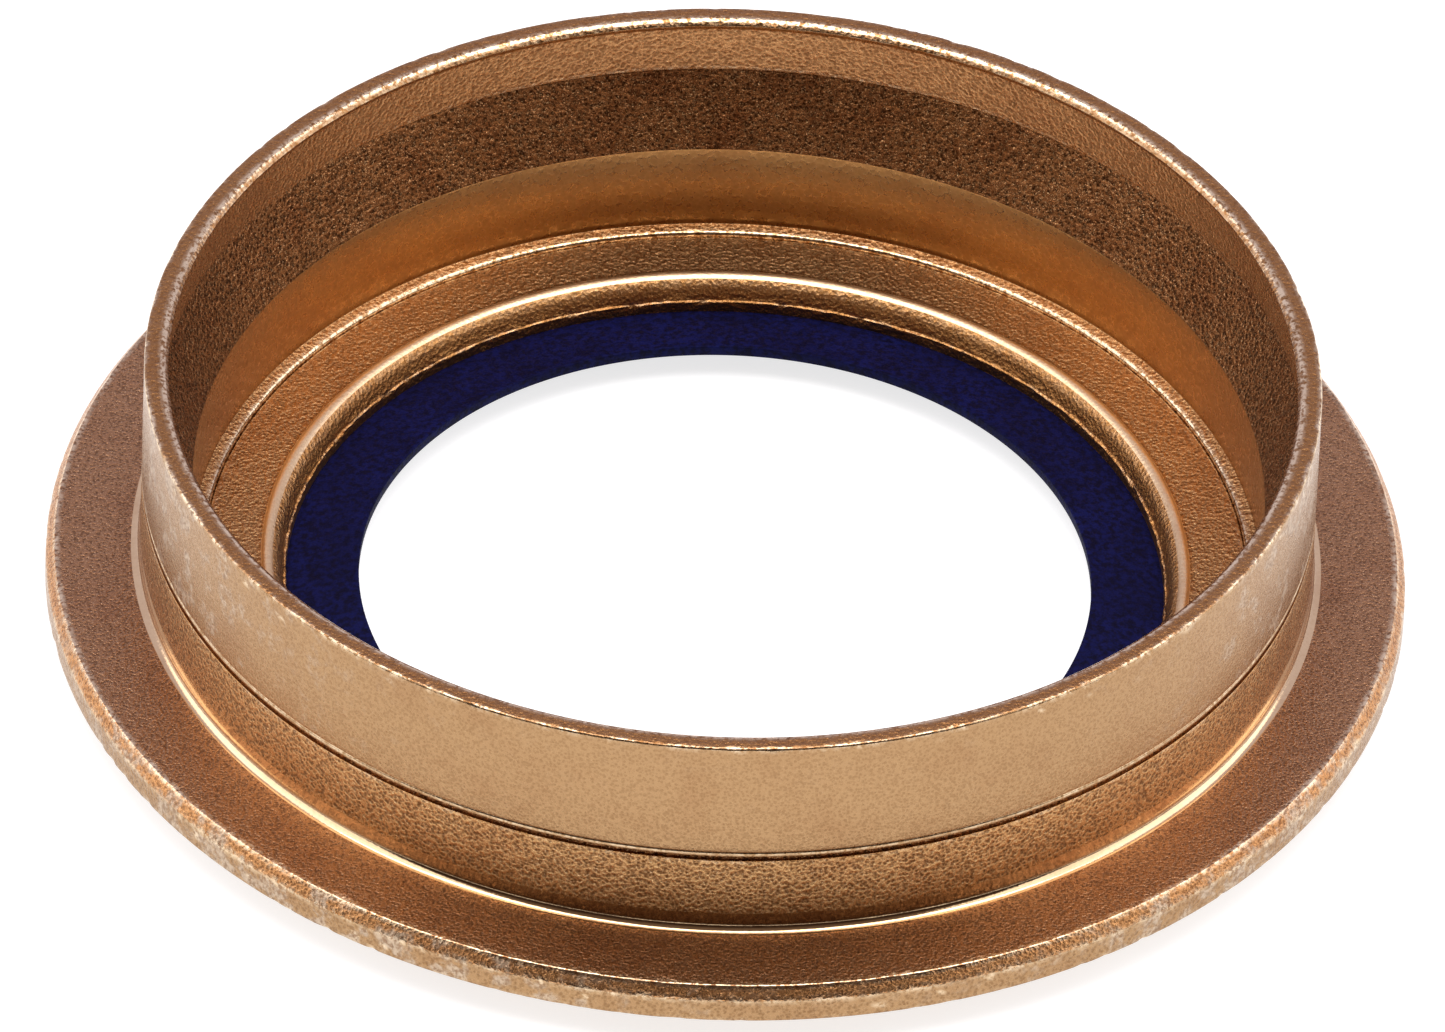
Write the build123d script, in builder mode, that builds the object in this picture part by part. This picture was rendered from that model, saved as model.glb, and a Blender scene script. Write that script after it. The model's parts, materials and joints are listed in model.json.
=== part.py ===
"""Flanged bronze sleeve bushing with a wiper seal, as four turned or moulded rings.

All sizes are in millimetres. +Z is the bushing's axis, pointing out of the open collar.
The origin is on the axis, in the plane of the pilot's bottom face, on which it stands.
"""

import os

from build123d import *

# Driving dimensions: what the bushing fits
COLLAR_DIA = 80.0  # housing bore that the collar presses into
BEARING_DIA = 73.0  # journal that runs in the body's lower bore
LIP_DIA = 50.0  # shaft that the seal lip wipes
FLANGE_DIA = 92.8
PILOT_DIA = 78.0  # low spigot under the flange, hidden in use

# Heights of the faces above the pilot's bottom
PILOT_H = 2.2  # underside of the flange
FLANGE_TOP_Z = 4.85
JOINT_Z = 11.58  # shoulder that the collar sleeve butts against
BORE_TOP_Z = 10.85  # upper end of the bearing bore, foot of its lead-in cone
SPIGOT_TOP_Z = 16.0
RIM_Z = 20.6  # top of the collar

# Flanged body
GROOVE_TOP_Z = 11.14  # witness groove just under the joint, below a narrow bead
GROOVE_BOTTOM_Z = 10.82
GROOVE_DEPTH = 0.16
SPIGOT_DIA = 78.6  # neck that the collar sleeve is pressed onto
CONE_TOP_DIA = 78.0
STEP_Z = 4.32  # narrow step at the foot of the bearing bore
CHAMFER_RUN = 0.6  # steep chamfer round the flange's top: radial run, then drop
CHAMFER_DROP = 0.9
CHAMFER_ROUND = 0.5
FLANGE_FILLET = 1.0  # in the corner between flange and land
SEAT_LIP_DIA = 62.0  # opening in the floor that carries the seal
SEAT_Z = 0.8  # top of that floor

# Collar sleeve
RIM_BORE_DIA = 76.7
RIM_CHAMFER = 0.35
SHOULDER_BORE_DIA = 77.8  # the thin wall flares slightly down to the spigot

# Clamp ring, pressed into the body over the seal
CLAMP_DIA = 71.2
LEDGE_Z = 3.95
NOSE_DIA = 60.0  # inner edge of the rounded nose
NOSE_EDGE_Z = 2.5
BEAD_DIA = 63.0  # crown of the bead that stands above the ledge
BEAD_RISE = 0.14
BEAD_R = 1.2
BEAD_FOOT_DIA = 63.45
NOSE_TURN = 64  # degrees of arc from the crown before the nose runs straight
CLAMP_EDGE_R = 0.28

# Wiper seal
SEAL_THICKNESS = 0.95
LIP_RISE = 0.9  # the lip cones up towards the shaft
LIP_TIP_H = 0.8
LIP_ROOT_DIA = 60.8  # where the underside of the lip leaves the heel

EDGE_BREAK = 0.15  # sharp outer corners are eased by this much
JOINT_BREAK = 0.07

os.makedirs("parts", exist_ok=True)


def ring_edges(part: Part, dia: float, height: float) -> ShapeList:
    """Return the circular edges of one diameter at one height."""
    circles = part.edges().filter_by(GeomType.CIRCLE)
    return circles.filter_by(
        lambda edge: abs(edge.radius - dia / 2) < 1e-3 and abs(edge.arc_center.Z - height) < 1e-3
    )


# Flanged body: flange, pilot, land, spigot with a conical mouth, and the stepped bore
chamfer_top_dia = FLANGE_DIA - 2 * CHAMFER_RUN
chamfer_foot_z = FLANGE_TOP_Z - CHAMFER_DROP
groove_dia = COLLAR_DIA - 2 * GROOVE_DEPTH
body_section = [
    (SEAT_LIP_DIA / 2, 0),
    (PILOT_DIA / 2, 0),
    (PILOT_DIA / 2, PILOT_H),
    (FLANGE_DIA / 2, PILOT_H),
    (FLANGE_DIA / 2, chamfer_foot_z),
    (chamfer_top_dia / 2, FLANGE_TOP_Z),
    (COLLAR_DIA / 2, FLANGE_TOP_Z),
    (COLLAR_DIA / 2, GROOVE_BOTTOM_Z),
    (groove_dia / 2, GROOVE_BOTTOM_Z),
    (groove_dia / 2, GROOVE_TOP_Z),
    (COLLAR_DIA / 2, GROOVE_TOP_Z),
    (COLLAR_DIA / 2, JOINT_Z),
    (SPIGOT_DIA / 2, JOINT_Z),
    (SPIGOT_DIA / 2, SPIGOT_TOP_Z),
    (CONE_TOP_DIA / 2, SPIGOT_TOP_Z),
    (BEARING_DIA / 2, BORE_TOP_Z),
    (BEARING_DIA / 2, STEP_Z),
    (CLAMP_DIA / 2, STEP_Z),
    (CLAMP_DIA / 2, SEAT_Z),
    (SEAT_LIP_DIA / 2, SEAT_Z),
]
with BuildPart() as flanged_body:
    with BuildSketch(Plane.XZ):
        with BuildLine():
            Polyline(*body_section, close=True)
        make_face()
    revolve(axis=Axis.Z)
    fillet(ring_edges(flanged_body.part, FLANGE_DIA, chamfer_foot_z), CHAMFER_ROUND)
    fillet(ring_edges(flanged_body.part, COLLAR_DIA, FLANGE_TOP_Z), FLANGE_FILLET)
    chamfer(ring_edges(flanged_body.part, FLANGE_DIA, PILOT_H), EDGE_BREAK)
    chamfer(ring_edges(flanged_body.part, PILOT_DIA, 0), EDGE_BREAK)
    chamfer(ring_edges(flanged_body.part, COLLAR_DIA, JOINT_Z), JOINT_BREAK)
    chamfer(ring_edges(flanged_body.part, CLAMP_DIA, STEP_Z), EDGE_BREAK)
flanged_body.part.label = "flanged_body"
export_step(flanged_body.part, "parts/flanged_body.step")


# Collar sleeve: thin-walled, counterbored to sit over the spigot, with a narrow rim land
rim_land_dia = RIM_BORE_DIA + 2 * RIM_CHAMFER
collar_section = [
    (SPIGOT_DIA / 2, JOINT_Z),
    (COLLAR_DIA / 2, JOINT_Z),
    (COLLAR_DIA / 2, RIM_Z),
    (rim_land_dia / 2, RIM_Z),
    (RIM_BORE_DIA / 2, RIM_Z - RIM_CHAMFER),
    (SHOULDER_BORE_DIA / 2, SPIGOT_TOP_Z),
    (SPIGOT_DIA / 2, SPIGOT_TOP_Z),
]
with BuildPart() as collar_sleeve:
    with BuildSketch(Plane.XZ):
        with BuildLine():
            Polyline(*collar_section, close=True)
        make_face()
    revolve(axis=Axis.Z)
    fillet(ring_edges(collar_sleeve.part, COLLAR_DIA, RIM_Z), EDGE_BREAK)
    chamfer(ring_edges(collar_sleeve.part, COLLAR_DIA, JOINT_Z), JOINT_BREAK)
collar_sleeve.part.label = "collar_sleeve"
export_step(collar_sleeve.part, "parts/collar_sleeve.step")


# Seal clamp ring: flat ledge, low bead and a nose that slopes down to the seal
heel_top_z = SEAT_Z + SEAL_THICKNESS
bead_top_z = LEDGE_Z + BEAD_RISE
with BuildPart() as seal_clamp_ring:
    with BuildSketch(Plane.XZ):
        with BuildLine():
            edge_point = (NOSE_DIA / 2, NOSE_EDGE_Z)
            bead_top = (BEAD_DIA / 2, bead_top_z)
            nose_arc = CenterArc((BEAD_DIA / 2, bead_top_z - BEAD_R), BEAD_R, 90, NOSE_TURN)
            Line(nose_arc @ 1, edge_point)
            Polyline(
                edge_point,
                (NOSE_DIA / 2, heel_top_z),
                (CLAMP_DIA / 2, heel_top_z),
                (CLAMP_DIA / 2, LEDGE_Z),
                (BEAD_FOOT_DIA / 2, LEDGE_Z),
                bead_top,
            )
        make_face()
    revolve(axis=Axis.Z)
    fillet(ring_edges(seal_clamp_ring.part, CLAMP_DIA, LEDGE_Z), CLAMP_EDGE_R)
seal_clamp_ring.part.label = "seal_clamp_ring"
export_step(seal_clamp_ring.part, "parts/seal_clamp_ring.step")


# Wiper seal: a flat heel clamped between the seat and the ring, and a lip coned upwards
lip_top_z = heel_top_z + LIP_RISE
seal_section = [
    (CLAMP_DIA / 2, SEAT_Z),
    (CLAMP_DIA / 2, heel_top_z),
    (NOSE_DIA / 2, heel_top_z),
    (LIP_DIA / 2, lip_top_z),
    (LIP_DIA / 2, lip_top_z - LIP_TIP_H),
    (LIP_ROOT_DIA / 2, SEAT_Z),
]
with BuildPart() as wiper_seal:
    with BuildSketch(Plane.XZ):
        with BuildLine():
            Polyline(*seal_section, close=True)
        make_face()
    revolve(axis=Axis.Z)
wiper_seal.part.label = "wiper_seal"
export_step(wiper_seal.part, "parts/wiper_seal.step")
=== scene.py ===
"""Looks of a flanged bronze sleeve bushing with a navy wiper seal.

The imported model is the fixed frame. Each of its four rings is turned again here from an eased
half-section, with its nicks, dings and grain, and stands for the CAD node of the same name.
Sections are in millimetres, as (radius, height above the pilot's bottom). Meshes are in metres.
"""

import json
import logging
import math
import random
from collections.abc import Iterator
from dataclasses import dataclass, field
from enum import Enum

import bmesh
import bpy
from mathutils import Matrix, Vector, kdtree, noise


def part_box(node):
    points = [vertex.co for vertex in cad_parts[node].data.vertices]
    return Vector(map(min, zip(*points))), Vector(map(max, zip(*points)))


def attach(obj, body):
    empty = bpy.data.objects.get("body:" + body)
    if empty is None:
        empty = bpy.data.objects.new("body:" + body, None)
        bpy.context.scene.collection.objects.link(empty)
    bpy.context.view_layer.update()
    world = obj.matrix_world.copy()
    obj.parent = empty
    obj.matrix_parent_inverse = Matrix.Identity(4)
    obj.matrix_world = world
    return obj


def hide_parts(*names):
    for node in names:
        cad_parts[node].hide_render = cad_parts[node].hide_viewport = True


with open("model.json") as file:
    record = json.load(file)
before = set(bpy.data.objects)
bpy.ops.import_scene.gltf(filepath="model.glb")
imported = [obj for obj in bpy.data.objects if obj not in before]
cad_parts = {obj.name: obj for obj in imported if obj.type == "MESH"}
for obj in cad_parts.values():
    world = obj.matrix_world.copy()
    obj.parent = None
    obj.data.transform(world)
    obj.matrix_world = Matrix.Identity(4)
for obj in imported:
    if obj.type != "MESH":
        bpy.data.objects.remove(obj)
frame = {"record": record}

LOG = logging.getLogger("bushing")
MM = 0.001
WELD_GAP = 1e-7  # points nearer than this are welded, in metres
SHARP_ANGLE = 50.0  # faces that meet at more than this keep a crisp edge, in degrees
BROAD_EASE = 0.4  # a corner eased by this much or more counts as broad, in millimetres
SMALL_SEGMENTS = 4  # segments of a small eased corner
BROAD_SEGMENTS = 9  # segments of a broad one
POINT_STEPS = 500  # steps per millimetre at which the points of a section are told apart
FACE_STEPS = 100  # the same for the middles of its faces
LEAST_REACH = 0.16  # a worn corner is rubbed, and a highlight painted on it, at least this far along its faces, in millimetres

Colour = tuple[float, float, float]


class Zone(Enum):
    """The finishes that the faces of a ring can have."""

    RIM = "rim_land"
    WALL = "outer_wall"
    BAND = "upper_band"
    CONE = "granular_cone"
    BORE = "bearing_bore"
    LAND = "lower_land"
    FILLET = "flange_fillet"
    FLANGE = "flange_top"
    CHAMFER = "flange_chamfer"
    EDGE = "flange_edge"
    LEDGE = "ledge"
    BEAD = "rounded_bead"
    NOSE = "sloped_nose"
    UNDER = "machined_underside"
    RUBBER = "navy_elastomer"


@dataclass(frozen=True)
class Corner:
    """One corner of a half-section, with the face that runs from it to the next corner.

    Attributes:
        r: Radius in millimetres.
        z: Height in millimetres.
        zone: Finish of the face that starts here.
        ease: How far the corner is rounded back along its two faces, in millimetres.
        wear_and_highlight: How bright the corner is painted, from 0 to 1: rubbed wear, and on the
            inner ledge edges a painted highlight line.
        broken: How far nicks and grain break up the rubbed line, from 0 to 1.
        nick: Depth of the nicks along the corner, in millimetres.
        pitch: Spacing of the loops on the face that starts here, in millimetres.
    """

    r: float
    z: float
    zone: Zone = Zone.UNDER
    ease: float = 0.0
    wear_and_highlight: float = 0.0
    broken: float = 0.0
    nick: float = 0.0
    pitch: float = 2.0


def smooth(low: float, high: float, value: float) -> float:
    """Return 0 below low, 1 above high and a smooth rise between them."""
    t = min(1.0, max(0.0, (value - low) / (high - low)))
    return t * t * (3.0 - 2.0 * t)


def clouds(place: Vector, coarse: float, fine: float, share: float) -> float:
    """Return slow noise with a share of finer noise, both given as waves per millimetre."""
    return noise.noise(place * coarse) + share * noise.noise(place * fine)


class NodeGraph:
    """A node tree, with short calls for the nodes that the looks share."""

    def __init__(self, tree: bpy.types.NodeTree) -> None:
        """Take a tree to build in.

        Args:
            tree: Node tree of a material or a world.
        """
        self.tree = tree

    def link(self, source: object, target: bpy.types.NodeSocket) -> None:
        """Feed a socket.

        Args:
            source: Socket that feeds it, or the plain value that it is set to.
            target: Socket that is fed.
        """
        if isinstance(source, bpy.types.NodeSocket):
            self.tree.links.new(source, target)
        else:
            target.default_value = source

    def math(self, operation: str, *values: object) -> bpy.types.NodeSocket:
        """Add a Math node.

        Args:
            operation: Name of the node's operation.
            *values: Sockets or numbers for its inputs, in order.

        Returns:
            The node's output socket.
        """
        node = self.tree.nodes.new("ShaderNodeMath")
        node.operation = operation
        for value, socket in zip(values, node.inputs):
            self.link(value, socket)
        return node.outputs[0]

    def band(
        self, value: object, low: float, high: float, start: float = 0.0, end: float = 1.0
    ) -> bpy.types.NodeSocket:
        """Map a value from low..high to start..end with a smooth step.

        Args:
            value: Socket to map.
            low: Value that gives start.
            high: Value that gives end.
            start: Output at low.
            end: Output at high.

        Returns:
            The mapped value.
        """
        node = self.tree.nodes.new("ShaderNodeMapRange")
        node.interpolation_type = "SMOOTHSTEP"
        names = ("Value", "From Min", "From Max", "To Min", "To Max")
        for source, name in zip((value, low, high, start, end), names):
            self.link(source, node.inputs[name])
        return node.outputs["Result"]

    def blend(
        self, factor: object, first: object, second: object, mode: str = "MIX"
    ) -> bpy.types.NodeSocket:
        """Mix two colours.

        Args:
            factor: Share of the second colour.
            first: Socket or colour.
            second: Socket or colour.
            mode: Blend type.

        Returns:
            The mixed colour.
        """
        node = self.tree.nodes.new("ShaderNodeMix")
        node.data_type = "RGBA"
        node.blend_type = mode
        colour_sockets = node.inputs[:1] + node.inputs[6:8]
        for source, socket in zip((factor, first, second), colour_sockets):
            self.link((*source, 1.0) if isinstance(source, tuple) else source, socket)
        return node.outputs[2]

    def mix(self, factor: object, first: object, second: object) -> bpy.types.NodeSocket:
        """Mix two numbers.

        Args:
            factor: Share of the second number.
            first: Socket or number.
            second: Socket or number.

        Returns:
            The mixed number.
        """
        node = self.tree.nodes.new("ShaderNodeMix")
        node.data_type = "FLOAT"
        number_sockets = node.inputs[:1] + node.inputs[2:4]
        for source, socket in zip((factor, first, second), number_sockets):
            self.link(source, socket)
        return node.outputs[0]


class MaterialGraph(NodeGraph):
    """A material's node tree, with a Principled shader and the patterns of the finishes."""

    def __init__(self, name: str) -> None:
        """Make an empty material with a Principled shader.

        Args:
            name: Name of the material.
        """
        self.material = bpy.data.materials.new(name)
        self.material.use_nodes = True
        super().__init__(self.material.node_tree)
        self.tree.nodes.clear()
        self.shader = self.tree.nodes.new("ShaderNodeBsdfPrincipled")
        output = self.tree.nodes.new("ShaderNodeOutputMaterial")
        self.tree.links.new(self.shader.outputs["BSDF"], output.inputs["Surface"])
        self.place = self.tree.nodes.new("ShaderNodeTexCoord").outputs["Object"]

    def noise(
        self,
        size: float,
        detail: float = 2.0,
        roughness: float = 0.5,
        vector: bpy.types.NodeSocket | None = None,
    ) -> bpy.types.NodeSocket:
        """Add a noise whose features are about a given size.

        Args:
            size: Feature size in millimetres.
            detail: Number of finer octaves.
            roughness: Strength of each finer octave.
            vector: Where the noise is read, or the object's own coordinates.

        Returns:
            The noise value, near 0.5 on average.
        """
        node = self.tree.nodes.new("ShaderNodeTexNoise")
        node.inputs["Scale"].default_value = 1.0 / (size * MM)
        node.inputs["Detail"].default_value = detail
        node.inputs["Roughness"].default_value = roughness
        self.link(vector or self.place, node.inputs["Vector"])
        return node.outputs["Fac"]

    def grains(self, size: float, clump: float = 1.4) -> bpy.types.NodeSocket:
        """Add a clumpy granular height, as sand-cast or peened metal has.

        Args:
            size: Grain size in millimetres.
            clump: Size of the clumps, in grains.

        Returns:
            The height, near 0.5 on average.
        """
        cells = self.tree.nodes.new("ShaderNodeTexVoronoi")
        cells.feature = "F1"
        cells.inputs["Scale"].default_value = 1.0 / (size * MM)
        self.link(self.place, cells.inputs["Vector"])
        clumps = self.noise(clump * size, detail=4.0, roughness=0.75)
        halves = [self.math("MULTIPLY", part, 0.5) for part in (cells.outputs["Distance"], clumps)]
        return self.math("ADD", *halves)

    def turned(self, across: float = 0.02) -> bpy.types.NodeSocket:
        """Return coordinates that run along a turned surface and barely round it.

        Args:
            across: Share of the way round the ring that is kept, so that marks fade in and out.

        Returns:
            A vector socket of (radius, height, a little of x and y).
        """
        split = self.tree.nodes.new("ShaderNodeSeparateXYZ")
        self.link(self.place, split.inputs[0])
        x, y, z = split.outputs
        squares = [self.math("MULTIPLY", side, side) for side in (x, y)]
        radius = self.math("SQRT", self.math("ADD", *squares))
        drift = self.math("MULTIPLY", self.math("ADD", x, y), across)
        join = self.tree.nodes.new("ShaderNodeCombineXYZ")
        for value, socket in zip((radius, z, drift), join.inputs):
            self.link(value, socket)
        return join.outputs[0]

    def attribute(self, name: str) -> bpy.types.NodeSocket:
        """Read a number stored on the mesh.

        Args:
            name: Name of the mesh's attribute.

        Returns:
            The number at each point.
        """
        node = self.tree.nodes.new("ShaderNodeAttribute")
        node.attribute_name = name
        return node.outputs["Fac"]

    def bump(
        self,
        height: object,
        depth: float,
        normal: bpy.types.NodeSocket | None = None,
        strength: object = 1.0,
    ) -> bpy.types.NodeSocket:
        """Add a bump.

        Args:
            height: Height socket, from 0 to 1.
            depth: How deep a height of 1 is, in millimetres.
            normal: Normal that the bump is added to.
            strength: Share of the bump that shows, from 0 to 1.

        Returns:
            The bumped normal.
        """
        node = self.tree.nodes.new("ShaderNodeBump")
        node.inputs["Distance"].default_value = depth * MM
        self.link(strength, node.inputs["Strength"])
        self.link(height, node.inputs["Height"])
        if normal is not None:
            self.link(normal, node.inputs["Normal"])
        return node.outputs["Normal"]


@dataclass(frozen=True)
class Tones:
    """The three colours of a grained bronze face.

    Attributes:
        low: Colour in the hollows of the grain.
        mid: Colour of most of the face.
        high: Colour of the tops of the grain.
    """

    low: Colour
    mid: Colour
    high: Colour


@dataclass(frozen=True)
class BronzeFinish:
    """Cast, turned and handled bronze.

    A pair named for a pattern gives the two levels of it between which its effect comes in.

    Attributes:
        zone: Face that the finish is for.
        tones: Colours of the face.
        worn_and_highlight: Colour of a rubbed edge, and of the painted highlight line along the
            inner ledge edges.
        silver: Colour of the bared metal inside a scuff.
        bruise: Colour of the dark specks inside a scuff.
        tint: What a slow brown patch multiplies the colour by.
        rough: Roughness on the tops and in the hollows.
        polish: Roughness of a rubbed edge.
        scuff_rough: Roughness that a full scuff adds.
        grain: Size of the coarse grain, in millimetres.
        grain_depth: Depth of the coarse grain, in millimetres.
        fine: Size of the fine grain, in millimetres.
        fine_depth: Depth of the fine grain, in millimetres.
        line: Spacing of the turning marks, in millimetres.
        line_depth: Depth of the turning marks, in millimetres.
        patch: Size of the slow brown patches, in millimetres.
        mottle: Size of the mottle in scuffs and on rubbed edges, in millimetres.
        mottle_depth: Depth of the mottle in a scuff, in millimetres.
        cloud: Size of the clouds that bare metal comes in, in millimetres.
        stain: How much the slow brown patches show, from 0 to 1.
        speck: How much the tops of the grain differ in colour, from 0 to 1.
        cover: Most of a scuff that bare metal covers, from 0 to 1.
        scuffed: Scuffing at which a scuff counts as full, from 0 to 1.
        scuff_lift: How far scuffing lifts the clouds.
        rubbed_flat: Share of the grain that a fully rubbed edge has lost.
        hollows: Levels of the coarse grain for the middle colour.
        tops: Levels of the fine grain for the top colour.
        gloss: Levels of the coarse grain for the smoother tops.
        patches: Levels of the slow noise for the brown patches.
        bared: Levels of the mottle for bare metal in place of dark specks.
        clouds: Levels of the clouds for the scuffs.
        wear_highlight_flecks: Levels of the mottle for bright flecks on a rubbed edge, which along
            the inner ledge edges make a painted highlight line.
    """

    zone: Zone
    tones: Tones = Tones((0.32, 0.172, 0.072), (0.480, 0.285, 0.138), (0.60, 0.390, 0.210))
    worn_and_highlight: Colour = (0.90, 0.72, 0.49)
    silver: Colour = (0.63, 0.50, 0.37)
    bruise: Colour = (0.30, 0.19, 0.12)
    tint: Colour = (0.80, 0.70, 0.66)
    rough: tuple[float, float] = (0.22, 0.34)
    polish: float = 0.15
    scuff_rough: float = 0.08
    grain: float = 0.30
    grain_depth: float = 0.060
    fine: float = 0.11
    fine_depth: float = 0.014
    line: float = 0.22
    line_depth: float = 0.006
    patch: float = 5.0
    mottle: float = 0.34
    mottle_depth: float = 0.05
    cloud: float = 0.8
    stain: float = 0.5
    speck: float = 0.7
    cover: float = 0.75
    scuffed: float = 0.6
    scuff_lift: float = 0.22
    rubbed_flat: float = 0.85
    hollows: tuple[float, float] = (0.32, 0.60)
    tops: tuple[float, float] = (0.54, 0.76)
    gloss: tuple[float, float] = (0.34, 0.66)
    patches: tuple[float, float] = (0.45, 0.75)
    bared: tuple[float, float] = (0.36, 0.60)
    clouds: tuple[float, float] = (0.46, 0.72)
    wear_highlight_flecks: tuple[float, float] = (0.38, 0.56)

    def material(self) -> bpy.types.Material:
        """Build the node tree.

        Returns:
            The finished material.
        """
        graph = MaterialGraph("bronze_" + self.zone.value)
        grain = graph.grains(self.grain)
        fine = graph.noise(self.fine, detail=2.0, roughness=0.7)
        patch = graph.noise(self.patch, detail=3.0, roughness=0.6)
        mottle = graph.noise(self.mottle, detail=3.0, roughness=0.65)
        lines = graph.noise(self.line, detail=2.0, roughness=0.7, vector=graph.turned())
        scuff = graph.attribute("scuff")
        # How bright each point is painted, for rubbed wear and for the painted highlight lines on
        # the inner ledge edges.
        edge = graph.attribute("edge")

        body = graph.band(grain, *self.hollows, 1.0 - self.speck)
        colour = graph.blend(body, self.tones.low, self.tones.mid)
        tops = graph.math("MULTIPLY", graph.band(fine, *self.tops), self.speck)
        colour = graph.blend(tops, colour, self.tones.high)
        brown = graph.math("MULTIPLY", graph.band(patch, *self.patches), self.stain)
        colour = graph.blend(brown, colour, self.tint, "MULTIPLY")
        metal = graph.blend(graph.band(mottle, *self.bared), self.bruise, self.silver)
        lift = graph.math("MULTIPLY", scuff, self.scuff_lift)
        cloud = graph.math("ADD", graph.noise(self.cloud, detail=3.0), lift)
        bare = graph.band(cloud, *self.clouds, 0.0, self.cover)
        share = graph.math("MULTIPLY", graph.band(scuff, 0.0, self.scuffed), bare)
        colour = graph.blend(share, colour, metal)
        # Bright flecks of rubbed metal on worn edges; along the inner ledge edges they paint a
        # highlight line.
        wear_highlight_flecks = graph.math("MULTIPLY", edge, graph.band(mottle, *self.wear_highlight_flecks))
        colour = graph.blend(wear_highlight_flecks, colour, self.worn_and_highlight)
        graph.link(colour, graph.shader.inputs["Base Color"])

        top_rough, low_rough = self.rough
        rough = graph.band(grain, *self.gloss, low_rough, top_rough)
        rough = graph.math("ADD", rough, graph.math("MULTIPLY", share, self.scuff_rough))
        graph.link(graph.mix(edge, rough, self.polish), graph.shader.inputs["Roughness"])

        relief = graph.math("SUBTRACT", 1.0, graph.math("MULTIPLY", edge, self.rubbed_flat))
        normal = graph.bump(grain, self.grain_depth, strength=relief)
        normal = graph.bump(fine, self.fine_depth, normal, relief)
        normal = graph.bump(lines, self.line_depth, normal, relief)
        normal = graph.bump(mottle, self.mottle_depth, normal, share)
        graph.link(normal, graph.shader.inputs["Normal"])
        graph.shader.inputs["Metallic"].default_value = 1.0
        return graph.material


@dataclass(frozen=True)
class ElastomerFinish:
    """Moulded navy elastomer with a mottled, slightly dusty skin.

    Attributes:
        deep: Colour between the blotches.
        light: Colour of the blotches.
        mottle: Size of the blotches, in millimetres.
        cloud: Size of the areas where the blotches are stronger, in millimetres.
        skin: Size of the skin's grain, in millimetres.
        depth: Depth of the blotches and of the skin's grain, in millimetres.
        rough: Least and greatest roughness.
        sheen: Specular level.
    """

    deep: Colour = (0.0022, 0.0020, 0.015)
    light: Colour = (0.0044, 0.0062, 0.056)
    mottle: float = 0.45
    cloud: float = 4.0
    skin: float = 0.16
    depth: float = 0.012
    rough: tuple[float, float] = (0.52, 0.70)
    sheen: float = 0.06

    def material(self) -> bpy.types.Material:
        """Build the node tree.

        Returns:
            The finished material.
        """
        graph = MaterialGraph(Zone.RUBBER.value)
        mottle = graph.noise(self.mottle, detail=3.0, roughness=0.6)
        cloud = graph.noise(self.cloud, detail=2.0)
        skin = graph.noise(self.skin, detail=2.0)
        strength = graph.band(cloud, 0.3, 0.7, 0.6, 1.0)
        share = graph.math("MULTIPLY", graph.band(mottle, 0.35, 0.65), strength)
        colour = graph.blend(share, self.deep, self.light)
        normal = graph.bump(skin, self.depth, graph.bump(mottle, self.depth))
        graph.link(colour, graph.shader.inputs["Base Color"])
        graph.link(graph.band(skin, 0.3, 0.7, *self.rough), graph.shader.inputs["Roughness"])
        graph.link(normal, graph.shader.inputs["Normal"])
        graph.shader.inputs["Specular IOR Level"].default_value = self.sheen
        return graph.material


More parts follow.
